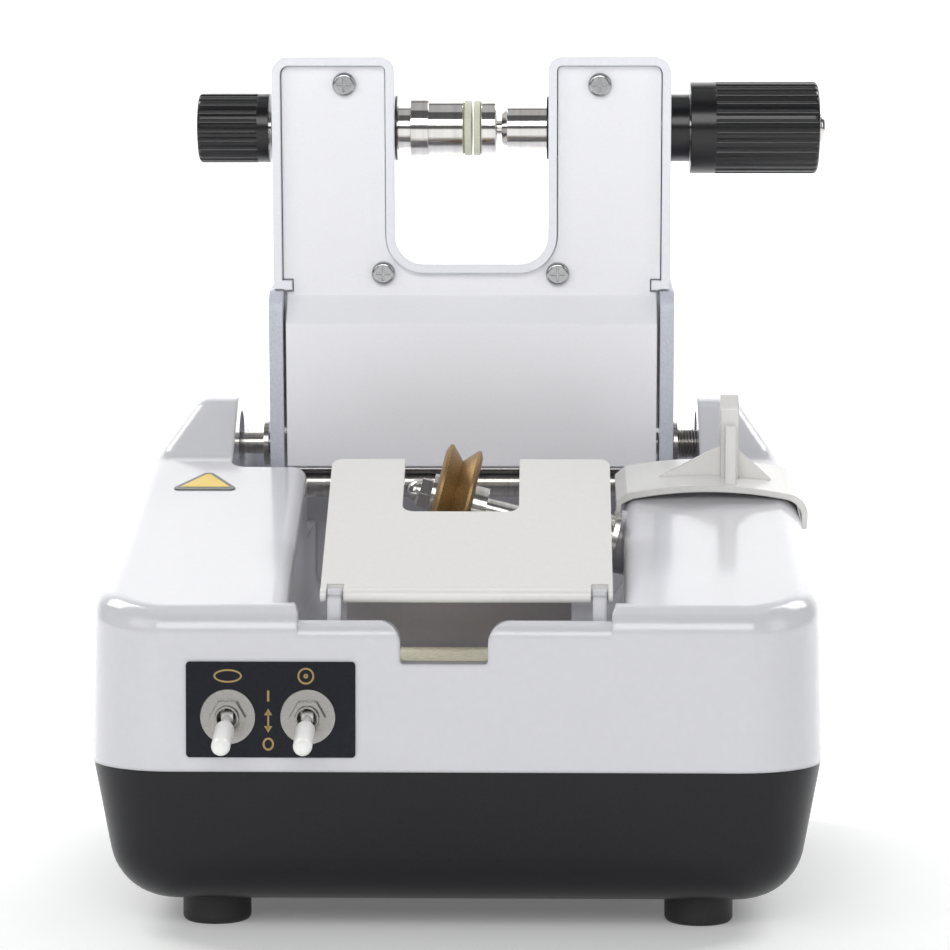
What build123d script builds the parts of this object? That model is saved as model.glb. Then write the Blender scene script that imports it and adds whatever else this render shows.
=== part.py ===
from build123d import *
from math import asin, atan, cos, radians, sin, tan
import os

os.makedirs("parts", exist_ok=True)

# Bench-top machine that chamfers the edge of a spectacle lens. Millimetres. X to the right, Y away from
# the operator, Z up. The origin is the middle of the four feet, on the bench.

# ---- driving dimensions ----
body_w = 190.0
body_d = 200.0
body_corner_r = 23.0
seam_z = 44.0
pan_bottom_z = 7.8
pan_wall = 2.6
pan_taper = 10.5
pan_edge_r = 16.0

shell_wall = 2.6
shell_draft = 1.0
deck_front_z = 84.9
deck_slope = 13.4
front_lean = 1.1
deck_edge_r = 7.0

channel_half_front = 42.9
channel_half_rear = 47.0
channel_front_y = -92.0
channel_floor_z = 66.0
channel_floor_r = 12.0
rim_r = 4.0
sill_half = 40.0
sill_z = 82.3
notch_w = 22.4
notch_x = -2.7
notch_z = 71.6

well_front_y = 18.6
well_rear_y = 80.0
well_half = 67.5
well_floor_z = 92.0
rear_deck_z = 110.0

pivot_y = 57.0
pivot_z = 117.2
rod_d = 6.4
rod_half = 84.0
hump_w = 23.0
hump_top_z = 131.2
ear_top_x = 79.0
ear_foot_z = -36.0
ear_edge_r = 5.0

head_lean = 6.0
head_x = 1.3
head_half = 57.8
head_top = 115.0
head_wall = 2.5
head_front = -12.0
head_back = 15.0
head_split = 47.6
head_bottom = -4.0
plate_t = 4.1
plate_outer = 59.0
window_half = 22.35
window_bottom = 54.8
window_r = 8.5
cover_t = 1.6
cover_front = -9.6
ledge_half = 54.0
plate_top = 47.2
box_bottom = 6.0
box_front = -17.0
box_top = 45.5

lens_axis_v = 93.5
lens_axis_u = 1.5
lens_shaft_d = 10.0
chuck_d = 15.7
pad_d = 16.2
clamp_shaft_d = 12.5
clamp_screw_r = 2.5
bush_r = 7.0
clamp_bush_r = 8.0
lens_pulley_x = (-44.0, -38.0)
lens_pulley_r = 7.5
lens_motor_pulley_r = 5.0
lens_motor_v = 28.0
lens_motor_r = 11.0

wheel_tilt = 14.0
wheel_x = -2.5
wheel_y = -15.0
wheel_z = 106.3
wheel_r = 15.0
wheel_w = 10.4
groove_r = 11.2
spindle_d = 5.8
plate_at = 44.6
plate_r = 14.5
plate_top_z = 102.2
housing_r = 6.8
housing_start = 36.0
housing_end = 55.0
bearing_r = 5.5
bearing_w = 4.0
pulley_at = 57.5
pulley_w = 5.0
spindle_pulley_r = 8.0
wheel_motor_pulley_r = 6.0
wheel_motor_drop = 30.0
wheel_motor_r = 14.0
wheel_motor_len = 28.0

run_gap = 0.05
foot_x = 63.5
foot_y = 70.0
foot_d = 18.0
screw_r = 1.5
inlet_x = -66.0
inlet_z = 67.0
inlet_w = 27.4
inlet_h = 19.8

sponge_h = 5.0

switch_z = 58.2
switch_x = {"lens": -57.7, "wheel": -37.3}
switch_rest = 15.0
lever_len = 22.0
label_t = 0.5

spring_start = 62.1
spring_end = 70.4
spring_pitch = 0.92
spring_r = 3.8
spring_wire_r = 0.4

guard_hinge_y = -88.4
guard_hinge_z = 88.0
guard_slope = 29.5
guard_len = 61.5
guard_w = 75.2
guard_x = 2.8
guard_t = 2.2
guard_notch_w = 31.0
guard_notch_len = 25.0
notch_shift = -2.3
hinge_barrel_r = 1.8
hinge_pin_r = 0.9
bracket_x = (-31.0, 37.0)
bracket_w = 3.6

saddle_front_y = -11.0
saddle_len = 25.0
saddle_t = 1.8
saddle_in = 45.0
tongue_x = 44.2
tongue_low = -3.4
hook_x = 94.3
hook_low = -7.5
arch = 2.6
fin_x = 74.5
fin_t = 3.0
fin_top = 135.0

belt_t = 1.2
belt_gap = 0.05

made = []


def save(part, name):
    """Label a finished piece and write it to its own file."""
    part.label = name
    export_step(part, f"parts/{name}.step")
    made.append(name)


def deck_z(y):
    """Height of the sloping deck above the bench at a distance y from the middle."""
    return deck_front_z + (y + body_d / 2 - front_lean) * tan(radians(deck_slope))


def head_face(u):
    """Plane of the head seen from the front, at depth u. Its x runs along X, its y up the head."""
    lean = radians(head_lean)
    origin = (head_x, pivot_y + u * cos(lean), pivot_z + u * sin(lean))
    return Plane(origin=origin, x_dir=(1, 0, 0), z_dir=(0, -cos(lean), -sin(lean)))


def head_side(x):
    """Plane of the head seen from its left. Its x runs backwards from the pivot, its y up the head."""
    lean = radians(head_lean)
    return Plane(origin=(x, pivot_y, pivot_z), x_dir=(0, cos(lean), sin(lean)), z_dir=(1, 0, 0))


def lens_plane(x):
    """Plane square to the lens shaft at x, with its origin on the shaft's axis."""
    lean = radians(head_lean)
    y = pivot_y + lens_axis_u * cos(lean) - lens_axis_v * sin(lean)
    z = pivot_z + lens_axis_u * sin(lean) + lens_axis_v * cos(lean)
    return Plane(origin=(x, y, z), x_dir=(0, cos(lean), sin(lean)), z_dir=(1, 0, 0))


def pivot_plane(x):
    """Plane square to the pivot rod at x, with its origin on the rod's axis."""
    return Plane(origin=(x, pivot_y, pivot_z), x_dir=(0, 1, 0), z_dir=(1, 0, 0))


def spindle_plane(t, drop=0.0):
    """Plane square to the tilted wheel spindle, t along it from the wheel's middle and drop below it."""
    a = radians(wheel_tilt)
    x = wheel_x + t * cos(a) - drop * sin(a)
    z = wheel_z - t * sin(a) - drop * cos(a)
    return Plane(origin=(x, wheel_y, z), x_dir=(0, 1, 0), z_dir=(cos(a), 0, -sin(a)))


def fascia(x, z):
    """Plane lying on the leaning front face of the casing, facing the operator."""
    b = atan(front_lean / (deck_front_z - seam_z))
    y = -body_d / 2 + (z - seam_z) * tan(b)
    return Plane(origin=(x, y, z), x_dir=(1, 0, 0), z_dir=(0, -cos(b), sin(b)))


def deck_plane(x, y):
    """Plane lying on the sloping deck."""
    a = radians(deck_slope)
    return Plane(origin=(x, y, deck_z(y)), x_dir=(1, 0, 0), z_dir=(0, -sin(a), cos(a)))


def deck_front_plane(y):
    """Plane square to the sloping deck at y, facing the operator, with its y measured off the deck."""
    a = radians(deck_slope)
    return Plane(origin=(0, y, deck_z(y)), x_dir=(1, 0, 0), z_dir=(0, -cos(a), -sin(a)))


def spindle_half_plane():
    """Plane through the spindle's axis. Its x runs along the spindle, its y backwards."""
    a = radians(wheel_tilt)
    return Plane(origin=(wheel_x, wheel_y, wheel_z), x_dir=(cos(a), 0, -sin(a)), z_dir=(sin(a), 0, cos(a)))


def head_u(point):
    """Depth of a point behind the head's pivot, measured square to the head's face."""
    lean = radians(head_lean)
    return (point.Y - pivot_y) * cos(lean) + (point.Z - pivot_z) * sin(lean)


def turned(plane, steps):
    """Stack coaxial discs on a plane. Each step is (start, end, radius)."""
    for start, end, radius in steps:
        with BuildSketch(plane.offset(start)) as disc:
            Circle(radius)
        extrude(disc.sketch, amount=end - start)


def bored(plane, start, end, radius):
    """Cut a round hole along a plane's normal."""
    with BuildSketch(plane.offset(start)) as disc:
        Circle(radius)
    extrude(disc.sketch, amount=end - start, mode=Mode.SUBTRACT)


def belt_loop(plane, width, distance, radius_a, radius_b):
    """A flat belt round two pulleys: one on the plane's origin, one at a distance down its y axis."""
    lean = asin((radius_a - radius_b) / distance)
    for grow, mode in ((belt_gap + belt_t, Mode.ADD), (belt_gap, Mode.SUBTRACT)):
        with BuildSketch(plane) as loop:
            ra = radius_a + grow
            rb = radius_b + grow
            Circle(ra)
            with Locations((0, -distance)):
                Circle(rb)
            with BuildLine():
                Polyline(
                    (-ra * cos(lean), -ra * sin(lean)),
                    (ra * cos(lean), -ra * sin(lean)),
                    (rb * cos(lean), -distance - rb * sin(lean)),
                    (-rb * cos(lean), -distance - rb * sin(lean)),
                    close=True,
                )
            make_face()
        extrude(loop.sketch, amount=width, mode=mode)


window_right = head_x + window_half
wall_right = head_x + head_half

# ---- casing: the white top shell ----
with BuildPart() as hollow:
    with BuildSketch(Plane.XY.offset(seam_z - 1)):
        RectangleRounded(body_w - 2 * shell_wall, body_d - 2 * shell_wall, body_corner_r - shell_wall)
    extrude(amount=100, taper=shell_draft)
    with BuildSketch(Plane.YZ.offset(-body_w / 2)):
        roof = 1.04 * shell_wall
        inner_front = -body_d / 2 + shell_wall + front_lean
        with BuildLine():
            Polyline(
                (-body_d / 2, seam_z - 2),
                (inner_front, deck_z(inner_front) - roof),
                (well_front_y - 4, deck_z(well_front_y - 4) - roof),
                (well_rear_y, rear_deck_z - shell_wall),
                (body_d / 2 - 1, rear_deck_z - 3 - shell_wall),
                (body_d / 2, seam_z - 2),
                close=True,
            )
        make_face()
    extrude(amount=body_w, mode=Mode.INTERSECT)
    with BuildSketch(Plane.XY.offset(well_floor_z - shell_wall)):
        with Locations((0, (well_front_y + well_rear_y) / 2)):
            Rectangle(2 * (well_half + shell_wall), well_rear_y - well_front_y + 2 * shell_wall)
    extrude(amount=80, mode=Mode.SUBTRACT)
    bay_ends = (
        (channel_front_y - shell_wall, channel_half_front),
        (well_rear_y + shell_wall, channel_half_rear),
    )
    for y, half in bay_ends:
        with BuildSketch(Plane.XZ.offset(-y)) as bay:
            with Locations((0, channel_floor_z - shell_wall)):
                Rectangle(2 * (half + shell_wall), 80, align=(Align.CENTER, Align.MIN))
            fillet(bay.vertices().group_by(Axis.Y)[0], radius=channel_floor_r + shell_wall)
    loft(mode=Mode.SUBTRACT, ruled=True)
    with GridLocations(2 * foot_x, 2 * foot_y, 2, 2):
        Cylinder(4.5, 300, mode=Mode.SUBTRACT)
    # the front wall is solid between the channel's sides
    with Locations((0, -body_d / 2, channel_floor_z)):
        Box(92, 13, 40, align=(Align.CENTER, Align.CENTER, Align.MIN), mode=Mode.SUBTRACT)

def front_y(z):
    """Depth of the leaning front face at a height z."""
    return -body_d / 2 + (z - seam_z) * front_lean / (deck_front_z - seam_z)


with BuildPart() as sill_cut:
    with BuildSketch(Plane.XZ.offset(-channel_front_y - 1)) as opening:
        with BuildLine():
            Polyline(
                (-sill_half, sill_z - 5),
                (-sill_half, sill_z + 2),
                (-sill_half - 5, sill_z + 12),
                (sill_half + 5, sill_z + 12),
                (sill_half, sill_z + 2),
                (sill_half, sill_z - 5),
                close=True,
            )
        make_face()
        fillet(opening.vertices().filter_by(lambda p: abs(p.Y - sill_z - 2) < 0.1), radius=5)
    extrude(amount=12)
    with BuildSketch(Plane.YZ.offset(-60)) as crown:
        with BuildLine():
            Polyline(
                (front_y(sill_z - 12), sill_z - 12),
                (front_y(sill_z), sill_z),
                (channel_front_y, sill_z),
                (channel_front_y, sill_z - 12),
                close=True,
            )
        make_face()
        fillet(crown.vertices().filter_by(lambda p: p.Y > sill_z - 1 and p.X < -95), radius=4)
        fillet(crown.vertices().filter_by(lambda p: p.Y > sill_z - 1 and p.X > -93), radius=2)
    extrude(amount=120, mode=Mode.SUBTRACT)

with BuildPart() as plate_pocket:
    turned(spindle_plane(0), [(34.0, plate_at + 1.5, plate_r + 0.3)])
    split(bisect_by=Plane.XY.offset(plate_top_z + 0.2), keep=Keep.BOTTOM)

with BuildPart() as top_shell:
    with BuildSketch(Plane.XY.offset(seam_z)):
        RectangleRounded(body_w, body_d, body_corner_r)
    extrude(amount=100, taper=shell_draft)
    with BuildSketch(Plane.YZ.offset(-body_w / 2)) as outline:
        rise_y = well_front_y + 8.4
        with BuildLine():
            Polyline(
                (-body_d / 2, seam_z),
                (-body_d / 2 + front_lean, deck_front_z),
                (rise_y, deck_z(rise_y)),
                (pivot_y - hump_w / 2, hump_top_z),
                (pivot_y + hump_w / 2, hump_top_z),
                (well_rear_y + 4, rear_deck_z),
                (body_d / 2 - 1, rear_deck_z - 3),
                (body_d / 2, seam_z),
                close=True,
            )
        make_face()
        # in this sketch, x runs along Y and y runs up
        fillet(outline.vertices().filter_by(lambda p: p.Y > rear_deck_z + 12), radius=10)
        fillet(outline.vertices().filter_by(lambda p: 0 < p.X < 40 and p.Y > 90), radius=14)
        fillet(outline.vertices().filter_by(lambda p: well_rear_y < p.X < 90), radius=10)
    extrude(amount=body_w, mode=Mode.INTERSECT)
    top_edges = top_shell.edges().filter_by(lambda e: e.center().Z > seam_z + 30)
    level = top_edges.filter_by(lambda e: abs(e.tangent_at(0.5).Z) < 0.9)
    fillet(level.filter_by(lambda e: abs(e.center().X) > 70 or abs(e.center().Y) > 96), radius=deck_edge_r)
    # the ears lean inwards on their outer sides
    with BuildSketch(Plane.XZ.offset(-body_d / 2)):
        with BuildLine():
            Polyline(
                (-ear_top_x, 150),
                (-ear_top_x, hump_top_z),
                (-body_w, ear_foot_z),
                (-body_w, 150),
                close=True,
            )
        make_face()
        mirror(about=Plane.YZ)
    extrude(amount=body_d, mode=Mode.SUBTRACT)
    high_edges = top_shell.edges().filter_by(lambda e: e.center().Z > hump_top_z - 2)
    ear_tops = high_edges.filter_by(lambda e: abs(e.center().X) > 72)
    fillet(ear_tops, radius=ear_edge_r)
    # the deep well that the tilting head hangs in, and the channel from front to back below the wheel
    with BuildSketch(Plane.XY.offset(well_floor_z)):
        with Locations((0, (well_front_y + well_rear_y) / 2)):
            RectangleRounded(2 * well_half, well_rear_y - well_front_y, 5)
    extrude(amount=80, mode=Mode.SUBTRACT)
    for y, half in ((channel_front_y, channel_half_front), (well_rear_y, channel_half_rear)):
        with BuildSketch(Plane.XZ.offset(-y)) as bay:
            with Locations((0, channel_floor_z)):
                Rectangle(2 * half, deck_z(y) - channel_floor_z, align=(Align.CENTER, Align.MIN))
            with Locations((0, deck_z(y))):
                Rectangle(2 * half + 20, 60, align=(Align.CENTER, Align.MIN))
            fillet(bay.vertices().group_by(Axis.Y)[0], radius=channel_floor_r)
            rim = bay.vertices().filter_by(lambda p: abs(p.Y - deck_z(y)) < 0.1 and abs(p.X) < half + 1)
            fillet(rim, radius=rim_r)
    loft(mode=Mode.SUBTRACT, ruled=True)
    # between the rims the front wall drops to a lower rounded sill with a notch in it
    add(sill_cut.part, mode=Mode.SUBTRACT)
    with BuildSketch(Plane.XZ.offset(-channel_front_y - 2)) as notch:
        with Locations((notch_x, notch_z)):
            Rectangle(notch_w, sill_z - notch_z, align=(Align.CENTER, Align.MIN))
        with Locations((notch_x, sill_z)):
            Rectangle(notch_w + 24, 12, align=(Align.CENTER, Align.MIN))
        fillet(notch.vertices().group_by(Axis.Y)[0], radius=1)
        sides = notch.vertices().filter_by(lambda p: abs(p.X - notch_x) < notch_w / 2 + 1)
        flare = sides.filter_by(lambda p: abs(p.Y - sill_z) < 0.1)
        fillet(flare, radius=5.5)
    extrude(amount=20, mode=Mode.SUBTRACT)
    add(hollow.part, mode=Mode.SUBTRACT)
    # boss behind the slanting seat of the spindle plate
    turned(spindle_plane(0), [(plate_at + 1.5, plate_at + 8, housing_r + 2)])
    add(plate_pocket.part, mode=Mode.SUBTRACT)
    bored(spindle_plane(0), 30, 70, housing_r)
    # the pivot rod's seats in the two ears, each with a round recess on its inner side
    for side in (-1, 1):
        bored(pivot_plane(side * (well_half - 8)), 0, side * 11, 9.5)
    bored(pivot_plane(-rod_half), 0, 2 * rod_half, rod_d / 2)
    for x in switch_x.values():
        bored(fascia(x, switch_z), -6, 3, 3.1)
    with BuildSketch(Plane.XZ.offset(-90)):
        with Locations((inlet_x, inlet_z)):
            Rectangle(inlet_w, inlet_h)
    extrude(amount=-20, mode=Mode.SUBTRACT)
    with GridLocations(2 * foot_x, 2 * foot_y, 2, 2):
        Cylinder(screw_r, 2 * 62, mode=Mode.SUBTRACT)
save(top_shell.part, "top_shell")

# ---- casing: the black base pan and its feet ----
with BuildPart() as pan_room:
    with BuildSketch(Plane.XY.offset(seam_z)):
        RectangleRounded(body_w - 2 * pan_wall, body_d - 2 * pan_wall, body_corner_r - pan_wall)
    extrude(amount=pan_bottom_z + pan_wall - seam_z, taper=pan_taper)
    fillet(pan_room.faces().sort_by(Axis.Z)[0].edges(), radius=pan_edge_r - pan_wall)

with BuildPart() as base_pan:
    with BuildSketch(Plane.XY.offset(seam_z)):
        RectangleRounded(body_w - 0.4, body_d - 0.4, body_corner_r)
    extrude(amount=pan_bottom_z - seam_z, taper=pan_taper)
    fillet(base_pan.faces().sort_by(Axis.Z)[0].edges(), radius=pan_edge_r)
    add(pan_room.part, mode=Mode.SUBTRACT)
    with Locations((0, 0, pan_bottom_z)):
        with GridLocations(2 * foot_x, 2 * foot_y, 2, 2):
            Cylinder(4.5, seam_z - pan_bottom_z, align=(Align.CENTER, Align.CENTER, Align.MIN))
            Cylinder(screw_r + 0.2, 200, mode=Mode.SUBTRACT)
save(base_pan.part, "base_pan")

with BuildPart() as feet:
    with GridLocations(2 * foot_x, 2 * foot_y, 2, 2):
        Cylinder(foot_d / 2, pan_bottom_z, align=(Align.CENTER, Align.CENTER, Align.MIN))
    fillet(feet.edges().group_by(Axis.Z)[0], radius=1.5)
    with GridLocations(2 * foot_x, 2 * foot_y, 2, 2):
        Cylinder(3.6, 10, mode=Mode.SUBTRACT)
        Cylinder(screw_r + 0.2, 40, mode=Mode.SUBTRACT)
save(feet.part, "feet")

with BuildPart() as foot_screws:
    for x in (-foot_x, foot_x):
        for y in (-foot_y, foot_y):
            turned(Plane((x, y, 0)), [(2.6, 5.0, 3.2), (5.0, 60.0, screw_r)])
save(foot_screws.part, "foot_screws")

# ---- casing: the power inlet, the label, the sticker and the two switches ----
with BuildPart() as power_inlet:
    with BuildSketch(Plane.XZ.offset(-body_d / 2)):
        with Locations((inlet_x, inlet_z)):
            RectangleRounded(inlet_w + 5, inlet_h + 5, 2)
    extrude(amount=-1.8)
    with BuildSketch(Plane.XZ.offset(-body_d / 2)):
        with Locations((inlet_x, inlet_z)):
            Rectangle(inlet_w - 0.6, inlet_h - 0.6)
    extrude(amount=19)
    with BuildSketch(Plane.XZ.offset(-body_d / 2 - 1.8)):
        with Locations((inlet_x, inlet_z)):
            RectangleRounded(24, 16, 3)
    extrude(amount=16.5, mode=Mode.SUBTRACT)
    with BuildSketch(Plane.XZ.offset(-body_d / 2 + 16)):
        with Locations((inlet_x - 7, inlet_z), (inlet_x, inlet_z + 3.5), (inlet_x + 7, inlet_z)):
            Rectangle(2, 4)
    extrude(amount=-13)
save(power_inlet.part, "power_inlet")

label_x = sum(switch_x.values()) / 2 + 0.7
with BuildPart() as switch_label:
    with BuildSketch(fascia(label_x, switch_z + 1.8)):
        RectangleRounded(43.2, 24.5, 1)
    extrude(amount=label_t)
    for x in switch_x.values():
        bored(fascia(x, switch_z), -1, 2, 3.1)
save(switch_label.part, "switch_label")

with BuildPart() as warning_sticker:
    with BuildSketch(deck_plane(-73, -2.5)) as triangle:
        with BuildLine():
            Polyline((-9.8, 0), (9.8, 0), (0, 17), close=True)
        make_face()
        fillet(triangle.vertices(), radius=1.6)
    extrude(amount=0.3)
save(warning_sticker.part, "warning_sticker")

with BuildPart() as switch_bodies:
    for x in switch_x.values():
        with BuildSketch(fascia(x, switch_z).offset(-16)):
            RectangleRounded(12, 9.6, 1)
        extrude(amount=12.5)
        turned(fascia(x, switch_z), [(-3.6, 4.6, 3.0)])
        bored(fascia(x, switch_z), -3, 5, 2.5)
save(switch_bodies.part, "switch_bodies")

with BuildPart() as switch_nuts:
    for x in switch_x.values():
        turned(fascia(x, switch_z), [(label_t, label_t + 0.6, 7.0)])
        with BuildSketch(fascia(x, switch_z).offset(label_t + 0.6)):
            RegularPolygon(4.0, 6, major_radius=False)
        extrude(amount=2.0)
        bored(fascia(x, switch_z), 0, 5, 3.0)
save(switch_nuts.part, "switch_nuts")

for name, x in switch_x.items():
    pivot = fascia(x, switch_z).offset(1)
    stalk = pivot.rotated((switch_rest, 0, 0))
    with BuildPart() as lever:
        turned(stalk, [(-2.0, 8.0, 1.1), (8.0, lever_len - 2.4, 2.4)])
        fillet(lever.edges().filter_by(GeomType.CIRCLE).filter_by(lambda e: e.radius > 2), radius=0.5)
        with Locations(stalk.offset(lever_len - 2.4)):
            Sphere(2.4)
        with Locations(pivot.origin):
            Cylinder(1.6, 3, rotation=(0, 90, 0))
    save(lever.part, name + "_switch_lever")

# ---- inside the casing: supply board and transformer ----
with BuildPart() as transformer:
    with Locations((-38, 34, pan_bottom_z + pan_wall)):
        Box(42, 20, 36, align=(Align.CENTER, Align.CENTER, Align.MIN))
    with Locations((-38, 34, pan_bottom_z + pan_wall + 7)):
        Box(28, 36, 22, align=(Align.CENTER, Align.CENTER, Align.MIN))
save(transformer.part, "transformer")

with BuildPart() as supply_board:
    with Locations((30, 42, pan_bottom_z + pan_wall + 6)):
        Box(56, 44, 1.6, align=(Align.CENTER, Align.CENTER, Align.MIN))
    with Locations((30, 42, pan_bottom_z + pan_wall)):
        with GridLocations(46, 34, 2, 2):
            Cylinder(2.5, 6, align=(Align.CENTER, Align.CENTER, Align.MIN))
    with Locations((12, 40, pan_bottom_z + pan_wall + 7.6), (28, 40, pan_bottom_z + pan_wall + 7.6)):
        Cylinder(6, 18, align=(Align.CENTER, Align.CENTER, Align.MIN))
    with Locations((48, 42, pan_bottom_z + pan_wall + 7.6)):
        Box(14, 30, 12, align=(Align.CENTER, Align.CENTER, Align.MIN))
save(supply_board.part, "supply_board")

# ---- in the channel: sponge and water tray ----
with BuildPart() as sponge:
    with Locations((-1, channel_front_y + 17.5, channel_floor_z)):
        Box(44, 33, sponge_h, align=(Align.CENTER, Align.CENTER, Align.MIN))
    fillet(sponge.edges().filter_by(lambda e: e.center().Z > channel_floor_z + sponge_h - 0.5), radius=1.5)
save(sponge.part, "sponge")

with BuildPart() as water_tray:
    with Locations((0, -27, channel_floor_z)):
        Box(60, 56, 18, align=(Align.CENTER, Align.CENTER, Align.MIN))
    with BuildSketch(Plane.XZ.offset(54)):
        with Locations((-1.5, channel_floor_z + 35)):
            Circle(25)
    extrude(amount=-52, mode=Mode.SUBTRACT)
save(water_tray.part, "water_tray")

# ---- the wheel and its spindle ----
spindle_axis = Axis((wheel_x, wheel_y, wheel_z), (cos(radians(wheel_tilt)), 0, -sin(radians(wheel_tilt))))
half_w = wheel_w / 2
with BuildPart() as v_wheel:
    with BuildSketch(spindle_half_plane()):
        with BuildLine():
            Polyline(
                (-half_w, spindle_d / 2),
                (-half_w, wheel_r - 2),
                (-half_w + 0.8, wheel_r),
                (-half_w + 1.6, wheel_r),
                (0, groove_r),
                (half_w - 1.6, wheel_r),
                (half_w - 0.8, wheel_r),
                (half_w, wheel_r - 2),
                (half_w, spindle_d / 2),
                close=True,
            )
        make_face()
    revolve(axis=spindle_axis)
save(v_wheel.part, "v_wheel")

with BuildPart() as wheel_nut:
    turned(spindle_plane(0), [(-half_w - 1.2, -half_w, 6.0)])
    with BuildSketch(spindle_plane(-half_w - 1.2)) as hex_nut:
        RegularPolygon(4.5, 6)
    extrude(amount=-3.2)
    with Locations(spindle_plane(-half_w - 4.4)):
        Sphere(3.6)
    bored(spindle_plane(0), -half_w - 5, -half_w, spindle_d / 2)
save(wheel_nut.part, "wheel_nut")

with BuildPart() as wheel_spindle:
    turned(spindle_plane(0), [(-half_w - 5, half_w, spindle_d / 2), (half_w, half_w + 4, 5.5)])
    turned(spindle_plane(0), [(half_w + 4, pulley_at + pulley_w + 1, spindle_d / 2)])
save(wheel_spindle.part, "wheel_spindle")

with BuildPart() as spindle_pulley:
    turned(spindle_plane(0), [(pulley_at, pulley_at + pulley_w, spindle_pulley_r)])
    bored(spindle_plane(0), pulley_at - 1, pulley_at + pulley_w + 1, spindle_d / 2)
save(spindle_pulley.part, "spindle_pulley")

with BuildPart() as spindle_housing:
    turned(spindle_plane(0), [(plate_at, plate_at + 1.5, plate_r)])
    split(bisect_by=Plane.XY.offset(plate_top_z), keep=Keep.BOTTOM)
    turned(spindle_plane(0), [(housing_start, housing_end, housing_r)])
    bored(spindle_plane(0), housing_start - 1, housing_end + 1, bearing_r - 0.6)
    for start in (housing_start, housing_end - bearing_w):
        bored(spindle_plane(0), start, start + bearing_w, bearing_r)
save(spindle_housing.part, "spindle_housing")

with BuildPart() as spindle_bearings:
    for start in (housing_start, housing_end - bearing_w):
        turned(spindle_plane(0), [(start, start + bearing_w, bearing_r)])
        bored(spindle_plane(0), start, start + bearing_w, spindle_d / 2 + run_gap)
save(spindle_bearings.part, "spindle_bearings")

motor_at = pulley_at + pulley_w + 3.5
with BuildPart() as wheel_motor:
    turned(spindle_plane(0, wheel_motor_drop), [(motor_at - 2, motor_at, 5.0)])
    turned(spindle_plane(0, wheel_motor_drop), [(motor_at, motor_at + wheel_motor_len, wheel_motor_r)])
    bored(spindle_plane(0, wheel_motor_drop), motor_at - 3, motor_at + 10, 1.5 + run_gap)
save(wheel_motor.part, "wheel_motor")

with BuildPart() as wheel_motor_pulley:
    turned(spindle_plane(0, wheel_motor_drop), [(pulley_at, pulley_at + pulley_w, wheel_motor_pulley_r)])
    turned(spindle_plane(0, wheel_motor_drop), [(pulley_at + pulley_w, motor_at + 9, 1.5)])
save(wheel_motor_pulley.part, "wheel_motor_pulley")

with BuildPart() as motor_bracket:
    with BuildSketch(spindle_plane(motor_at - 2)):
        with Locations((0, -wheel_motor_drop + 15)):
            Rectangle(30, 72, align=(Align.CENTER, Align.MAX))
    extrude(amount=2)
    split(bisect_by=Plane.XY.offset(pan_bottom_z + pan_wall), keep=Keep.TOP)
    with Locations((48, wheel_y, pan_bottom_z + pan_wall)):
        Box(22, 30, 2, align=(Align.CENTER, Align.CENTER, Align.MIN))
    bored(spindle_plane(0, wheel_motor_drop), motor_at - 3, motor_at + 1, 5.0)
save(motor_bracket.part, "motor_bracket")

with BuildPart() as drive_belt:
    drive = (spindle_pulley_r, wheel_motor_pulley_r)
    belt_loop(spindle_plane(pulley_at + 0.5), pulley_w - 1, wheel_motor_drop, *drive)
save(drive_belt.part, "drive_belt")

# ---- the guard over the wheel, hinged at its front edge ----
slope = radians(guard_slope)
guard_plane = Plane(
    origin=(guard_x, guard_hinge_y, guard_hinge_z), x_dir=(1, 0, 0), z_dir=(0, -sin(slope), cos(slope))
)
hinge_line = Plane(origin=(0, guard_hinge_y, guard_hinge_z), x_dir=(0, 1, 0), z_dir=(1, 0, 0))
with BuildPart() as guard:
    with BuildSketch(guard_plane.offset(-guard_t / 2)) as panel:
        Rectangle(guard_w, guard_len, align=(Align.CENTER, Align.MIN))
        fillet(panel.vertices().group_by(Axis.Y)[-1], radius=3)
        with Locations((notch_shift, guard_len)):
            Rectangle(guard_notch_w, guard_notch_len, align=(Align.CENTER, Align.MAX), mode=Mode.SUBTRACT)
        inner = panel.vertices().filter_by(lambda p: p.Y < guard_len - 5 and p.Y > 5)
        fillet(inner, radius=3)
    extrude(amount=guard_t)
    turned(hinge_line, [(guard_x - guard_w / 2, guard_x + guard_w / 2, hinge_barrel_r)])
    for x in bracket_x:
        with Locations((x, guard_hinge_y, guard_hinge_z)):
            Box(bracket_w + 0.8, 5.2, 5.2, mode=Mode.SUBTRACT)
    bored(hinge_line, -60, 60, hinge_pin_r + run_gap)
save(guard.part, "guard")

with BuildPart() as guard_hinge:
    for x in bracket_x:
        with Locations((x, channel_front_y, guard_hinge_z)):
            Box(bracket_w, 3.6, 9, align=(Align.CENTER, Align.MIN, Align.MAX))
        turned(hinge_line, [(x - bracket_w / 2, x + bracket_w / 2, hinge_barrel_r)])
    turned(hinge_line, [(guard_x - guard_w / 2 + 1, guard_x + guard_w / 2 - 1, hinge_pin_r)])
save(guard_hinge.part, "guard_hinge")

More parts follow.
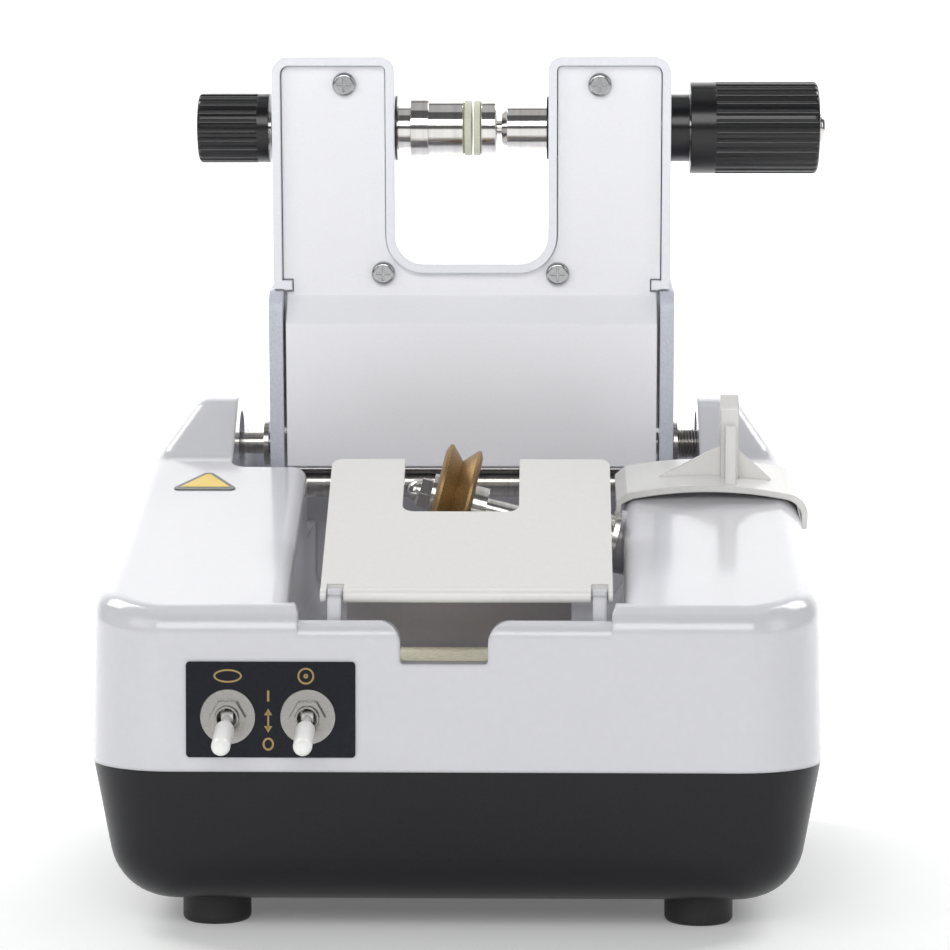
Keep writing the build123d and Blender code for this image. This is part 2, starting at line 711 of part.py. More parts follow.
# ---- the saddle clipped over the right side of the deck ----
saddle_plane = deck_front_plane(saddle_front_y)
with BuildPart() as saddle:
    with BuildSketch(saddle_plane):
        with BuildLine():
            # from the outer hook over the arch to the inner tongue, then back along the underside
            Polyline((hook_x + 1.7, hook_low), (hook_x + 1.7, -3.5))
            ThreePointArc((hook_x + 1.7, -3.5), (hook_x - 1.0, 0.9), (hook_x - 4.3, 2.0))
            ThreePointArc((hook_x - 4.3, 2.0), (68, arch + saddle_t), (saddle_in + 0.6, 2.2))
            Polyline(
                (saddle_in + 0.6, 2.2),
                (tongue_x - 1.5, tongue_low + 3),
                (tongue_x - 1.5, tongue_low),
                (tongue_x, tongue_low),
                (tongue_x, tongue_low + 2.4),
                (saddle_in + 2.2, 0.5),
            )
            ThreePointArc((saddle_in + 2.2, 0.5), (68, arch), (hook_x - 4.3, 0.35))
            ThreePointArc((hook_x - 4.3, 0.35), (hook_x - 1.6, -1.1), (hook_x, -4.0))
            Polyline((hook_x, -4.0), (hook_x, hook_low), (hook_x + 1.7, hook_low))
        make_face()
        with Locations((hook_x + 0.85, hook_low)):
            Circle(0.85)
    extrude(amount=-saddle_len)
    rear_y = saddle_front_y + saddle_len - 2
    with BuildSketch(Plane.YZ.offset(fin_x - fin_t / 2 - 1)) as fin:
        with BuildLine():
            Polyline(
                (saddle_front_y + 7, deck_z(saddle_front_y + 7) + arch),
                (saddle_front_y + 7, fin_top - 4),
                (saddle_front_y + 9, fin_top),
                (saddle_front_y + 14, fin_top),
                (rear_y, deck_z(rear_y) + arch),
                close=True,
            )
        make_face()
        fillet(fin.vertices().filter_by(lambda p: p.Y > fin_top - 5), radius=1.5)
    extrude(amount=fin_t + 2)
    with BuildSketch(Plane.YZ.offset(fin_x - fin_t / 2)):
        with BuildLine():
            Polyline(
                (saddle_front_y + 1, deck_z(saddle_front_y + 1) + arch),
                (saddle_front_y + 1, fin_top - 8.5),
                (saddle_front_y + 8, fin_top - 8.5),
                (saddle_front_y + 8, deck_z(saddle_front_y + 8) + arch),
                close=True,
            )
        make_face()
    extrude(amount=fin_t)
    with BuildSketch(Plane.XZ.offset(-saddle_front_y - 9)):
        with BuildLine():
            Polyline((54, 111.5), (fin_x, 122), (86, 111.5), (86, 110), (54, 110), close=True)
        make_face()
    extrude(amount=-2)
save(saddle.part, "saddle")

# ---- pivot rod, washers and float spring ----
with BuildPart() as pivot_rod:
    turned(pivot_plane(-rod_half), [(0, 2 * rod_half, rod_d / 2)])
save(pivot_rod.part, "pivot_rod")

for name, start, end in (("pivot_washer_left", -60.6, -59.1), ("pivot_washer_right", 60.8, 62.0)):
    with BuildPart() as washer:
        turned(pivot_plane(0), [(start, end, 6.5)])
        bored(pivot_plane(0), start, end, rod_d / 2 + run_gap)
    save(washer.part, name)

with BuildPart() as float_spring:
    with BuildLine():
        coil = Helix(
            pitch=spring_pitch,
            height=spring_end - spring_start - 2 * spring_wire_r,
            radius=spring_r,
            center=(spring_start + spring_wire_r, pivot_y, pivot_z),
            direction=(1, 0, 0),
        )
    with BuildSketch(Plane(origin=coil @ 0, z_dir=coil % 0)):
        Circle(spring_wire_r)
    sweep(path=coil)
save(float_spring.part, "float_spring")

# ---- the tilting head: folded sheet frame and cover ----
def head_outline(inset):
    """Outline of the two arms and the box below them, drawn inset from the outside."""
    with BuildSketch(Plane.XY) as outline:
        with Locations((0, head_split)):
            Rectangle(2 * head_half, head_top - head_split, align=(Align.CENTER, Align.MIN))
        fillet(outline.vertices().group_by(Axis.Y)[-1], radius=5)
        with Locations((0, box_bottom)):
            Rectangle(2 * (plate_outer - plate_t), head_split, align=(Align.CENTER, Align.MIN))
        with BuildSketch(Plane.XY, mode=Mode.SUBTRACT) as window:
            with Locations((0, window_bottom)):
                Rectangle(2 * window_half, 80, align=(Align.CENTER, Align.MIN))
            fillet(window.vertices().group_by(Axis.Y)[0], radius=window_r)
        tops = outline.vertices().filter_by(lambda p: p.Y > head_top - 0.1 and abs(p.X) < window_half + 0.1)
        fillet(tops, radius=4)
        if inset:
            offset(amount=-inset, kind=Kind.INTERSECTION)
    return outline.sketch


cover_holes = ((-35.5, 107.1), (38.5, 106.9), (-24.5, 52.1), (26.4, 51.9))
plate_holes = ((-6.0, 14.0), (6.0, 40.0))
with BuildPart() as head_frame:
    extrude(head_face(head_back) * head_outline(0), amount=head_back - head_front)
    cavity = head_face(head_back - 2) * head_outline(head_wall)
    extrude(cavity, amount=head_back - head_front, mode=Mode.SUBTRACT)
    with BuildSketch(head_face(cover_front + cover_t)) as below:
        Rectangle(140, head_split - 0.2, align=(Align.CENTER, Align.MIN))
    extrude(amount=20, mode=Mode.SUBTRACT)
    for x, v in cover_holes:
        with BuildSketch(head_face(head_back - 2)):
            with Locations((x - head_x, v)):
                Circle(2.6)
        extrude(amount=head_back - 2 - cover_front - cover_t)
        with BuildSketch(head_face(2)):
            with Locations((x - head_x, v)):
                Circle(screw_r)
        extrude(amount=20, mode=Mode.SUBTRACT)
    bored(lens_plane(0), -65, -50, bush_r)
    bored(lens_plane(0), -30, -15, bush_r)
    bored(lens_plane(0), 15, 30, clamp_bush_r)
    bored(lens_plane(0), 50, 65, clamp_bush_r)
    for u, v in plate_holes:
        with BuildSketch(head_side(-70)):
            with Locations((u, v)):
                Circle(screw_r)
        extrude(amount=140, mode=Mode.SUBTRACT)
save(head_frame.part, "head_frame")

with BuildPart() as front_cover:
    extrude(head_face(cover_front + cover_t) * head_outline(head_wall + 0.25), amount=cover_t)
    with BuildSketch(head_face(20)):
        Rectangle(140, 2 * (head_split - 1), align=(Align.CENTER, Align.CENTER))
    extrude(amount=60, mode=Mode.SUBTRACT)
    with BuildSketch(head_side(head_x - ledge_half)):
        with BuildLine():
            Polyline(
                (cover_front, head_split - 1),
                (cover_front, box_top),
                (box_front, box_top - 7.5),
                (box_front, head_bottom),
                (box_front + cover_t, head_bottom),
                (box_front + cover_t, box_top - 8.2),
                (cover_front + cover_t, box_top - 0.7),
                (cover_front + cover_t, head_split - 1),
                close=True,
            )
        make_face()
    extrude(amount=2 * ledge_half)
    for x, v in cover_holes:
        with BuildSketch(head_face(5)):
            with Locations((x - head_x, v)):
                Circle(screw_r)
        extrude(amount=30, mode=Mode.SUBTRACT)
save(front_cover.part, "front_cover")

with BuildPart() as cover_screws:
    for x, v in cover_holes:
        spot = head_face(cover_front).offset(0)
        spot = Plane(origin=spot.from_local_coords((x - head_x, v, 0)), x_dir=(1, 0, 0), z_dir=spot.z_dir)
        turned(spot, [(-8, 0, screw_r), (0, 2.0, 3.45)])
        with BuildSketch(spot.offset(1.2)):
            Rectangle(4, 0.7)
            Rectangle(0.7, 4)
        extrude(amount=2, mode=Mode.SUBTRACT)
    rims = cover_screws.edges().filter_by(GeomType.CIRCLE).filter_by(lambda e: e.radius > 3)
    fillet(rims.filter_by(lambda e: abs(head_u(e.arc_center) - cover_front + 2) < 0.1), radius=1.1)
save(cover_screws.part, "cover_screws")

# ---- the side plates, their screws and the tie bar ----
inner_left = head_x - plate_outer + plate_t
inner_right = head_x + plate_outer - plate_t
for name, start in (("side_plate_left", head_x - plate_outer), ("side_plate_right", inner_right)):
    with BuildPart() as plate:
        with BuildSketch(head_side(start)) as cheek:
            with Locations((0, plate_top)):
                Rectangle(-2 * box_front, plate_top, align=(Align.CENTER, Align.MAX))
            fillet(cheek.vertices().group_by(Axis.Y)[-1].sort_by(Axis.X)[0], radius=6)
            Circle(-box_front)
            Circle(rod_d / 2 + run_gap, mode=Mode.SUBTRACT)
            with Locations(*plate_holes):
                Circle(screw_r, mode=Mode.SUBTRACT)
        extrude(amount=plate_t)
        for u, v in plate_holes:
            outer = head_x + (plate_outer if start > 0 else -plate_outer)
            with BuildSketch(head_side(outer)):
                with Locations((u, v)):
                    Circle(2.8)
            extrude(amount=-1.8 if start > 0 else 1.8, mode=Mode.SUBTRACT)
    save(plate.part, name)

with BuildPart() as plate_screws:
    for u, v in plate_holes:
        for sign in (-1, 1):
            plane = head_side(head_x + sign * plate_outer)
            with BuildSketch(plane):
                with Locations((u, v)):
                    Circle(2.8)
            extrude(amount=-1.8 * sign)
            with BuildSketch(plane.offset(-1.8 * sign)):
                with Locations((u, v)):
                    Circle(screw_r)
            extrude(amount=-5.5 * sign)
save(plate_screws.part, "plate_screws")

with BuildPart() as tie_bar:
    with BuildSketch(head_side(inner_left)):
        with Locations((-6.0, -10.9)):
            Circle(4.25)
    extrude(amount=inner_right - inner_left)
save(tie_bar.part, "tie_bar")

# ---- inside the head: the motor that turns the lens, its bracket and belt ----
motor_shift = lens_axis_v - lens_motor_v
motor_origin = lens_plane(0).from_local_coords((0, -motor_shift, 0))
motor_plane = Plane(origin=motor_origin, x_dir=lens_plane(0).x_dir, z_dir=(1, 0, 0))
with BuildPart() as lens_motor:
    turned(motor_plane, [(-37.5, -36.0, 4.0), (-36.0, 2.0, lens_motor_r)])
    bored(motor_plane, -38, -26, 1.5 + run_gap)
save(lens_motor.part, "lens_motor")

with BuildPart() as lens_motor_bracket:
    with BuildSketch(head_side(-37.5)):
        with Locations((cover_front + cover_t + 0.5, lens_motor_v)):
            Rectangle(head_back - 2 - cover_front - cover_t - 0.5, 28, align=(Align.MIN, Align.CENTER))
    extrude(amount=1.5)
    bored(motor_plane, -38, -35, 4.0)
save(lens_motor_bracket.part, "lens_motor_bracket")

with BuildPart() as lens_motor_pulley:
    rim = (lens_pulley_x[0], lens_pulley_x[1], lens_motor_pulley_r)
    turned(motor_plane, [rim, (lens_pulley_x[1], -27, 1.5)])
save(lens_motor_pulley.part, "lens_motor_pulley")

with BuildPart() as lens_belt:
    width = lens_pulley_x[1] - lens_pulley_x[0] - 1
    belt_loop(lens_plane(lens_pulley_x[0] + 0.5), width, motor_shift, lens_pulley_r, lens_motor_pulley_r)
save(lens_belt.part, "lens_belt")

with BuildPart() as shaft_bushes:
    turned(lens_plane(0), [(-27, -21.05, bush_r), (-21.05, -20.5, 9.4)])
    turned(lens_plane(0), [(-57.1, -56.5, 9.0), (-56.5, -51, bush_r)])
    bored(lens_plane(0), -60, -18, lens_shaft_d / 2 + run_gap)
    turned(lens_plane(0), [(23.1, window_right, 9.2), (window_right, 30, clamp_bush_r)])
    bored(lens_plane(0), 22, 31, clamp_shaft_d / 2 + run_gap)
save(shaft_bushes.part, "shaft_bushes")

# ---- the lens shaft on the left, turned by the motor or by its knob ----
with BuildPart() as lens_shaft:
    turned(lens_plane(0), [(-72, -20.3, lens_shaft_d / 2), (-20.3, -16.5, 6.3), (-16.5, -11.4, 5.0)])
save(lens_shaft.part, "lens_shaft")

with BuildPart() as chuck_collar:
    turned(lens_plane(0), [(-16.5, -11.4, 8.7)])
    bored(lens_plane(0), -17, -11, 5.0)
save(chuck_collar.part, "chuck_collar")

with BuildPart() as lens_chuck:
    turned(lens_plane(0), [(-11.4, -0.8, chuck_d / 2)])
    chamfer(lens_chuck.edges().group_by(Axis.X)[-1], length=0.6)
save(lens_chuck.part, "lens_chuck")

with BuildPart() as lens_pad_left:
    turned(lens_plane(0), [(-0.8, 1.3, pad_d / 2)])
    fillet(lens_pad_left.edges().group_by(Axis.X)[-1], radius=0.6)
save(lens_pad_left.part, "lens_pad_left")

with BuildPart() as lens_knob:
    turned(lens_plane(0), [(-78.7, -57.9, 10.1)])
    fillet(lens_knob.edges().group_by(Axis.X)[0], radius=1.2)
    with BuildSketch(lens_plane(-80)):
        with PolarLocations(10.6, 24):
            Circle(1.0)
    extrude(amount=80 - 61.3, mode=Mode.SUBTRACT)
    bored(lens_plane(0), -72, -57, lens_shaft_d / 2)
save(lens_knob.part, "lens_knob")

with BuildPart() as lens_pulley:
    turned(lens_plane(0), [(lens_pulley_x[0], lens_pulley_x[1], lens_pulley_r)])
    bored(lens_plane(0), -50, -30, lens_shaft_d / 2)
save(lens_pulley.part, "lens_pulley")

# ---- the clamp on the right: knob and screw, sliding shaft, swivelling disc ----
with BuildPart() as clamp_nut:
    turned(lens_plane(0), [(wall_right - 2.5, wall_right, clamp_bush_r), (wall_right, 64.7, 9.85)])
    bored(lens_plane(0), 50, 66, clamp_shaft_d / 2 + run_gap)
save(clamp_nut.part, "clamp_nut")

with BuildPart() as clamp_knob:
    turned(lens_plane(0), [(65.0, 102.3, 13.35)])
    fillet(clamp_knob.edges().group_by(Axis.X)[-1], radius=1.5)
    with BuildSketch(lens_plane(72.3)):
        with PolarLocations(14.0, 30):
            Circle(1.1)
    extrude(amount=40, mode=Mode.SUBTRACT)
    bored(lens_plane(0), 64, 98.5, clamp_shaft_d / 2 + 0.4)
    bored(lens_plane(0), 98, 100.5, clamp_screw_r)
save(clamp_knob.part, "clamp_knob")

with BuildPart() as clamp_knob_cap:
    turned(lens_plane(0), [(102.3, 104.4, 4.25)])
    fillet(clamp_knob_cap.edges().group_by(Axis.X)[-1], radius=1.6)
save(clamp_knob_cap.part, "clamp_knob_cap")

with BuildPart() as clamp_screw:
    turned(lens_plane(0), [(48, 100.5, clamp_screw_r)])
save(clamp_screw.part, "clamp_screw")

with BuildPart() as clamp_shaft:
    turned(lens_plane(0), [(10.0, 84.0, clamp_shaft_d / 2)])
    chamfer(clamp_shaft.edges().group_by(Axis.X)[0], length=1.6)
    bored(lens_plane(0), 34, 85, clamp_screw_r + 0.4)
    bored(lens_plane(0), 9, 10.4, 2.5)
save(clamp_shaft.part, "clamp_shaft")

with BuildPart() as pressure_disc:
    turned(lens_plane(0), [(3.75, 8.56, 7.8), (8.56, 10.3, 2.2)])
    fillet(pressure_disc.edges().filter_by(GeomType.CIRCLE).filter_by(lambda e: e.radius > 7), radius=0.7)
save(pressure_disc.part, "pressure_disc")

with BuildPart() as lens_pad_right:
    turned(lens_plane(0), [(1.8, 3.75, pad_d / 2)])
    fillet(lens_pad_right.edges().group_by(Axis.X)[0], radius=0.6)
save(lens_pad_right.part, "lens_pad_right")
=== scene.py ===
import math

import bpy
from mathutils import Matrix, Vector


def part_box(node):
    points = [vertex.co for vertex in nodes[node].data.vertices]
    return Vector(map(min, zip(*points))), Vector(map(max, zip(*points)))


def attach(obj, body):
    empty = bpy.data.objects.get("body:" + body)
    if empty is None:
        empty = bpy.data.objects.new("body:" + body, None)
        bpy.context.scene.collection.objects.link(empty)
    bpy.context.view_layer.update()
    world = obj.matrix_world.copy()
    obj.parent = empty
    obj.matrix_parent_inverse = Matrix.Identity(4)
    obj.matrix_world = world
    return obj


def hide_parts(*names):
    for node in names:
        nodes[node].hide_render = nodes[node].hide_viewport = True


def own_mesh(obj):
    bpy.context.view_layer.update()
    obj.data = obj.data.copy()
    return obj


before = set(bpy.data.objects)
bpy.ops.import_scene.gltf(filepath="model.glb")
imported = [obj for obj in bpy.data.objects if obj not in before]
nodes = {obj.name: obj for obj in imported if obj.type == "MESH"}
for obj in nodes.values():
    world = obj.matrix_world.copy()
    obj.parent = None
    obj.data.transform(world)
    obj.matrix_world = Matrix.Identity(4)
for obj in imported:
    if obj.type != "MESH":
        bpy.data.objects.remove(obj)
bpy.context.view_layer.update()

# Camera, floor and lights.
# The machine stands on a pale studio sweep. A long lens looks at it from the operator's side and a little
# from above.
lens_mm = 132.6
camera_place = (0.0237, -0.9817, 0.1894)
camera_down_deg = 4.5
camera_left_deg = 1.2
camera_data = bpy.data.cameras.new("camera")
camera_data.sensor_width = 36.0
camera_data.lens = lens_mm
camera_data.clip_end = 20.0
camera = bpy.data.objects.new("camera", camera_data)
camera.location = camera_place
camera.rotation_euler = (math.radians(90 - camera_down_deg), 0.0, math.radians(camera_left_deg))
bpy.context.scene.collection.objects.link(camera)
bpy.context.scene.camera = camera
bpy.context.scene.view_settings.view_transform = "Standard"

sweep_r = 0.8
sweep_wall_y = 1.9
sweep_reach = 3.0
sweep_steps = 12
profile = [(-sweep_reach, 0.0), (sweep_wall_y - sweep_r, 0.0)]
for step in range(1, sweep_steps + 1):
    angle = math.radians(90 * step / sweep_steps)
    profile.append((sweep_wall_y - sweep_r + sweep_r * math.sin(angle), sweep_r - sweep_r * math.cos(angle)))
profile.append((sweep_wall_y, sweep_reach))
points = [(x, y, z) for y, z in profile for x in (-sweep_reach, sweep_reach)]
strips = [(2 * i, 2 * i + 1, 2 * i + 3, 2 * i + 2) for i in range(len(profile) - 1)]
sweep_mesh = bpy.data.meshes.new("studio_sweep")
sweep_mesh.from_pydata(points, [], strips)
sweep_mesh.polygons.foreach_set("use_smooth", [True] * len(strips))
sweep = bpy.data.objects.new("studio_sweep", sweep_mesh)
bpy.context.scene.collection.objects.link(sweep)
paper = bpy.data.materials.new("sweep_paper")
paper.use_nodes = True
paper_shader = paper.node_tree.nodes["Principled BSDF"]
paper_shader.inputs["Base Color"].default_value = (0.96, 0.96, 0.96, 1)
paper_shader.inputs["Roughness"].default_value = 0.9
paper_shader.inputs["Emission Color"].default_value = (1, 1, 1, 1)
paper_shader.inputs["Emission Strength"].default_value = 0.14
sweep_mesh.materials.append(paper)

world = bpy.data.worlds.new("studio")
bpy.context.scene.world = world
world.use_nodes = True
world.node_tree.nodes["Background"].inputs["Color"].default_value = (0.86, 0.88, 0.92, 1)
world.node_tree.nodes["Background"].inputs["Strength"].default_value = 0.14

for name, place, target, width, height, watts in (
    ("softbox_left", (-1.1, -0.9, 0.8), (0, 0, 0.1), 0.7, 0.9, 3.6),
    ("softbox_right", (1.2, -0.8, 0.7), (0, 0, 0.1), 0.6, 0.9, 2.4),
    ("softbox_front", (-0.1, -1.7, 0.95), (0, 0, 0.15), 1.4, 0.8, 14.0),
    ("softbox_top", (0.0, 0.1, 1.3), (0, 0, 0.1), 1.2, 0.9, 1.5),
    ("sweep_light_left", (-1.2, 0.9, 1.6), (0, 1.7, 0.4), 1.0, 1.0, 26),
    ("sweep_light_right", (1.2, 0.9, 1.6), (0, 1.7, 0.4), 1.0, 1.0, 26),
):
    lamp = bpy.data.lights.new(name, "AREA")
    lamp.shape = "RECTANGLE"
    lamp.size = width
    lamp.size_y = height
    lamp.energy = watts
    holder = bpy.data.objects.new(name, lamp)
    holder.location = place
    holder.rotation_euler = (Vector(target) - Vector(place)).to_track_quat("-Z", "Y").to_euler()
    bpy.context.scene.collection.objects.link(holder)

# Casing: white top shell.
# One glossy injection moulding in white plastic with a faint cool tint. It sits on the black pan, held by
# four long screws from below.


relief_depth = 0.0002
gloss_spread = 0.008


def surface(
    name,
    colour,
    rough,
    metal=0.0,
    grain=1500.0,
    relief=0.03,
    shade=0.03,
    edge=0.0,
    stretch=(1, 1, 1),
    coat=0.0,
):
    """A material whose colour, roughness and relief vary with fine grain fixed to the piece."""
    material = bpy.data.materials.new(name)
    material.use_nodes = True
    tree = material.node_tree
    shader = tree.nodes["Principled BSDF"]
    shader.inputs["Metallic"].default_value = metal
    shader.inputs["Coat Weight"].default_value = coat
    shader.inputs["Coat Roughness"].default_value = 0.08
    place = tree.nodes.new("ShaderNodeTexCoord")
    spread = tree.nodes.new("ShaderNodeMapping")
    spread.inputs["Scale"].default_value = stretch
    tree.links.new(place.outputs["Object"], spread.inputs["Vector"])
    fine = tree.nodes.new("ShaderNodeTexNoise")
    fine.inputs["Scale"].default_value = grain
    fine.inputs["Detail"].default_value = 3
    tree.links.new(spread.outputs["Vector"], fine.inputs["Vector"])
    tone = tree.nodes.new("ShaderNodeValToRGB")
    tone.color_ramp.elements[0].position = 0.3
    tone.color_ramp.elements[1].position = 0.7
    tone.color_ramp.elements[0].color = [c * (1 - shade) for c in colour] + [1]
    tone.color_ramp.elements[1].color = [min(1, c * (1 + shade)) for c in colour] + [1]
    tree.links.new(fine.outputs["Fac"], tone.inputs["Fac"])
    tree.links.new(tone.outputs["Color"], shader.inputs["Base Color"])
    broad = tree.nodes.new("ShaderNodeTexNoise")
    broad.inputs["Scale"].default_value = 250
    tree.links.new(place.outputs["Object"], broad.inputs["Vector"])
    wear = tree.nodes.new("ShaderNodeMapRange")
    wear.inputs["To Min"].default_value = max(0.02, rough - gloss_spread)
    wear.inputs["To Max"].default_value = rough + gloss_spread
    tree.links.new(broad.outputs["Fac"], wear.inputs["Value"])
    tree.links.new(wear.outputs["Result"], shader.inputs["Roughness"])
    bump = tree.nodes.new("ShaderNodeBump")
    bump.inputs["Strength"].default_value = relief
    bump.inputs["Distance"].default_value = relief_depth
    tree.links.new(fine.outputs["Fac"], bump.inputs["Height"])
    if edge:
        bevel = tree.nodes.new("ShaderNodeBevel")
        bevel.inputs["Radius"].default_value = edge
        tree.links.new(bevel.outputs["Normal"], bump.inputs["Normal"])
    tree.links.new(bump.outputs["Normal"], shader.inputs["Normal"])
    return material


def dress(material, *names):
    """Give CAD nodes a material in place of their plain one."""
    for name in names:
        nodes[name].data.materials.clear()
        nodes[name].data.materials.append(material)


shell_white = surface(
    "shell_white", (0.62, 0.62, 0.65), 0.16, grain=500, relief=0.01, shade=0.01, edge=0.0015,
    coat=0.4,
)
dress(shell_white, "top_shell", "guard_hinge")

# Casing: black base pan and feet.
# Satin black moulding with a fine spark texture. Four round rubber feet are screwed on through it.
pan_black = surface(
    "pan_black", (0.012, 0.012, 0.014), 0.34, grain=2500, relief=0.12, shade=0.15, edge=0.0006,
)
pan_black.node_tree.nodes["Principled BSDF"].inputs["Specular IOR Level"].default_value = 0.25
dress(pan_black, "base_pan")
foot_black = surface("foot_black", (0.014, 0.014, 0.014), 0.55, grain=2200, relief=0.15, shade=0.2)
dress(foot_black, "feet")
plated = surface(
    "plated_screw", (0.72, 0.72, 0.74), 0.18, metal=1.0, grain=1800, relief=0.03, shade=0.06,
    edge=0.0002,
)
dress(plated, "foot_screws")
dark_plated = surface(
    "dark_plated_screw", (0.42, 0.42, 0.43), 0.2, metal=1.0, grain=1800, relief=0.03, shade=0.08,
    edge=0.0002,
)
dress(dark_plated, "cover_screws", "plate_screws")

# Casing: switch label with its print, and the triangular sticker.
# Printed film stuck on the shell. The print is generic: a lens and a wheel in outline, a two-headed arrow,
# and a bar and a ring for on and off. The sticker is yellow with a dark grey border.
film_black = surface("film_black", (0.006, 0.007, 0.012), 0.22, grain=1200, relief=0.02, shade=0.2)
film_black.node_tree.nodes["Principled BSDF"].inputs["Specular IOR Level"].default_value = 0.25
dress(film_black, "switch_label")
print_gold = surface("print_gold", (0.36, 0.25, 0.09), 0.45, grain=3000, relief=0.05, shade=0.12)
label_low, label_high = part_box("switch_label")
label_t = 0.0005
print_lift = 0.00003
label_lean = math.asin((label_high.y - label_low.y - label_t) / (label_high.z - label_low.z))


def on_label(x, z):
    """Point just proud of the label, from its middle."""
    middle = (label_low + label_high) / 2
    y = label_low.y + ((label_high.z - label_low.z) / 2 + z) * math.tan(label_lean)
    return (middle.x + x, y - print_lift, middle.z + z)


def ring(cx, cz, rx, rz, width, steps=40):
    """Outline of an ellipse as corner points and faces."""
    spots = []
    for i in range(steps):
        a = 2 * math.pi * i / steps
        for grow in (-width / 2, width / 2):
            spots.append((cx + (rx + grow) * math.cos(a), cz + (rz + grow) * math.sin(a)))
    quads = [(2 * i, 2 * i + 1, (2 * i + 3) % (2 * steps), (2 * i + 2) % (2 * steps)) for i in range(steps)]
    return spots, quads


def bar(cx, cz, width, height):
    """Upright bar as corner points and one face."""
    w, h = width / 2, height / 2
    return [(cx - w, cz - h), (cx + w, cz - h), (cx + w, cz + h), (cx - w, cz + h)], [(0, 1, 2, 3)]


def arrowhead(cx, cz, size):
    """Triangle pointing up, or down when size is negative."""
    return [(cx - size * 0.6, cz), (cx + size * 0.6, cz), (cx, cz + size)], [(0, 1, 2)]


mm = 0.001
marks = {
    "print_lens": [ring(-10.9 * mm, 8.6 * mm, 3.4 * mm, 1.5 * mm, 0.45 * mm)],
    "print_wheel": [
        ring(9.0 * mm, 8.6 * mm, 1.9 * mm, 1.9 * mm, 0.45 * mm),
        ring(9.0 * mm, 8.6 * mm, 0.4 * mm, 0.4 * mm, 0.4 * mm),
    ],
    "print_on": [bar(-0.6 * mm, 3.5 * mm, 0.55 * mm, 2.8 * mm)],
    "print_arrow": [
        bar(-0.6 * mm, -2.7 * mm, 0.45 * mm, 4.6 * mm),
        arrowhead(-0.6 * mm, -1.4 * mm, 1.7 * mm),
        arrowhead(-0.6 * mm, -4.2 * mm, -1.7 * mm),
    ],
    "print_off": [ring(-0.6 * mm, -8.8 * mm, 1.2 * mm, 1.4 * mm, 0.5 * mm)],
}
for name, shapes in marks.items():
    corners, faces = [], []
    for spots, quads in shapes:
        faces += [tuple(len(corners) + k for k in quad) for quad in quads]
        corners += [on_label(x, z) for x, z in spots]
    mesh = bpy.data.meshes.new(name)
    mesh.from_pydata(corners, [], faces)
    mesh.materials.append(print_gold)
    piece = bpy.data.objects.new(name, mesh)
    bpy.context.scene.collection.objects.link(piece)
    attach(piece, "base")

sticker_grey = surface("sticker_grey", (0.10, 0.10, 0.09), 0.3, grain=1500, relief=0.02, shade=0.08)
dress(sticker_grey, "warning_sticker")
sticker_yellow = surface("sticker_yellow", (0.86, 0.60, 0.04), 0.3, grain=1500, relief=0.02, shade=0.04)
sticker_low, sticker_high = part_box("warning_sticker")
deck_slope = math.radians(13.4)
face_lift = 0.00036
face_half = 7.0
face_start = 2.2
face_end = 13.8
tip_half = 0.6
middle_x = (sticker_low.x + sticker_high.x) / 2
face_corners = []
for x, along in (
    (-face_half, face_start),
    (face_half, face_start),
    (tip_half, face_end),
    (-tip_half, face_end),
):
    face_corners.append(
        (
            middle_x + x * mm,
            sticker_low.y + along * mm * math.cos(deck_slope),
            sticker_low.z + face_lift + along * mm * math.sin(deck_slope),
        )
    )
sticker_mesh = bpy.data.meshes.new("sticker_face")
sticker_mesh.from_pydata(face_corners, [], [(0, 1, 2, 3)])
sticker_mesh.materials.append(sticker_yellow)
sticker_face = bpy.data.objects.new("sticker_face", sticker_mesh)
bpy.context.scene.collection.objects.link(sticker_face)
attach(sticker_face, "base")

# Toggle switches.
# Nickel-plated bushings with a washer and a hexagon nut each, and a white plastic cap on the bat.
nickel = surface(
    "nickel", (0.38, 0.37, 0.35), 0.2, metal=1.0, grain=1600, relief=0.04, shade=0.08,
    edge=0.0003,
)
dress(nickel, "switch_nuts", "switch_bodies")
cap_white = surface("cap_white", (0.86, 0.86, 0.84), 0.3, grain=900, relief=0.02, shade=0.02)
dress(cap_white, "lens_switch_lever", "wheel_switch_lever")

# Channel: sponge and water tray.
# A block of fine cream foam at the front and a lilac-grey moulded tray that catches water below the wheel.
foam = surface("foam", (0.80, 0.76, 0.60), 0.9, grain=700, relief=0.9, shade=0.14)
dress(foam, "sponge")
tray_grey = surface("tray_grey", (0.42, 0.40, 0.43), 0.25, grain=600, relief=0.02, shade=0.03)
dress(tray_grey, "water_tray")

# Wheel and spindle.
# The V wheel is abrasive grit in a sintered bronze bond. Its spindle, collar and nut are turned steel.
bronze = surface("bronze_bond", (0.33, 0.21, 0.09), 0.42, metal=0.75, grain=2600, relief=0.5, shade=0.35)
dress(bronze, "v_wheel")
turned_steel = surface(
    "turned_steel", (0.62, 0.60, 0.57), 0.2, metal=1.0, grain=900, relief=0.06, shade=0.12,
    stretch=(1, 0.03, 0.03), edge=0.0002,
)
dress(turned_steel, "wheel_spindle", "wheel_nut", "spindle_housing", "spindle_bearings")
dress(turned_steel, "wheel_motor_pulley")
belt_black = surface("belt_black", (0.02, 0.02, 0.02), 0.7, grain=1800, relief=0.2, shade=0.2)
dress(belt_black, "drive_belt", "lens_belt", "spindle_pulley", "power_inlet")
can_grey = surface("can_grey", (0.45, 0.45, 0.46), 0.35, metal=0.9, grain=900, relief=0.05, shade=0.08)
dress(can_grey, "wheel_motor", "lens_motor", "lens_motor_pulley", "lens_pulley")
board_green = surface("board_green", (0.02, 0.12, 0.05), 0.4, grain=300, relief=0.05, shade=0.3)
dress(board_green, "supply_board")
core_black = surface(
    "core_black", (0.04, 0.04, 0.045), 0.5, grain=800, relief=0.2, shade=0.3,
    stretch=(0.02, 0.02, 1),
)
dress(core_black, "transformer")

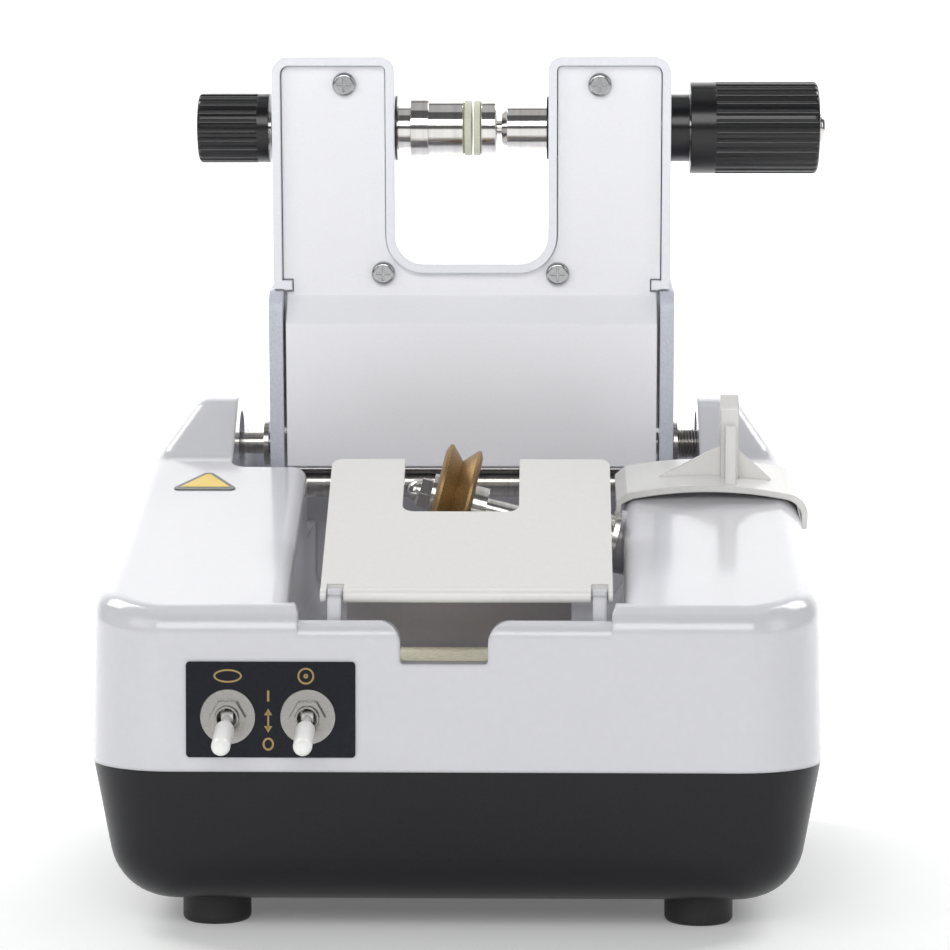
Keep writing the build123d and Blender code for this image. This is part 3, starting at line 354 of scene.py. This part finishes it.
# Guard and saddle.
# Thick moulded panels in a slightly warmer white. The guard hinges at its front edge, and the saddle clips
# over the right side of the deck.
cream = surface(
    "cream_white", (0.77, 0.76, 0.74), 0.24, grain=700, relief=0.015, shade=0.012, edge=0.0006,
    coat=0.2,
)
dress(cream, "guard", "saddle")

# Pivot rod, washers, tie bar and spring.
# Ground steel bar held in the shell's ears. A close-wound spring on its right end centres the head, and it
# shortens when the head floats to the right.
ground = surface(
    "ground_steel", (0.50, 0.48, 0.45), 0.24, metal=1.0, grain=1100, relief=0.05, shade=0.12,
    stretch=(1, 0.05, 0.05), edge=0.0002,
)
dress(ground, "pivot_rod", "tie_bar", "pivot_washer_left", "pivot_washer_right")
spring_wire = surface(
    "spring_wire", (0.40, 0.38, 0.35), 0.28, metal=1.0, grain=1500, relief=0.05, shade=0.15,
)
coils = bpy.data.objects.new("spring_coils", nodes["float_spring"].data.copy())
coils.data.materials.clear()
coils.data.materials.append(spring_wire)
bpy.context.scene.collection.objects.link(coils)
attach(coils, "base")
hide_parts("float_spring")
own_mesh(coils)

# Head: folded frame, front cover and side plates.
# Sheet steel with a white powder coat. The cheeks and the frame are a little greyer at their cut edges.
powder_white = surface(
    "powder_white", (0.90, 0.90, 0.93), 0.28, grain=2200, relief=0.05, shade=0.02, edge=0.0006,
    coat=0.25,
)
dress(powder_white, "front_cover")
frame_white = surface(
    "frame_white", (0.86, 0.87, 0.91), 0.34, grain=2000, relief=0.12, shade=0.03, edge=0.0006,
    coat=0.15,
)
dress(frame_white, "head_frame")
powder_grey = surface(
    "powder_grey", (0.60, 0.62, 0.69), 0.38, grain=1700, relief=0.25, shade=0.08, edge=0.0005,
)
dress(powder_grey, "side_plate_left", "side_plate_right", "lens_motor_bracket", "motor_bracket")

# Lens shaft, chuck, pads and the two knobs.
# Polished turned steel with soft pale green rubber pads, black bushes, and black fluted plastic knobs.
polished = surface(
    "polished_steel", (0.70, 0.68, 0.66), 0.1, metal=1.0, grain=700, relief=0.03, shade=0.08,
    stretch=(1, 0.02, 0.02), edge=0.0003,
)
dress(polished, "lens_shaft", "chuck_collar", "lens_chuck")
dress(polished, "clamp_shaft", "pressure_disc", "clamp_screw", "clamp_knob_cap")
pad_green = surface(
    "pad_green", (0.62, 0.63, 0.50), 0.6, grain=1500, relief=0.15, shade=0.06, edge=0.0003,
)
dress(pad_green, "lens_pad_left", "lens_pad_right")
knob_black = surface(
    "knob_black", (0.008, 0.008, 0.009), 0.22, grain=1600, relief=0.04, shade=0.3, edge=0.0003,
)
dress(knob_black, "lens_knob", "clamp_knob", "clamp_nut", "shaft_bushes")
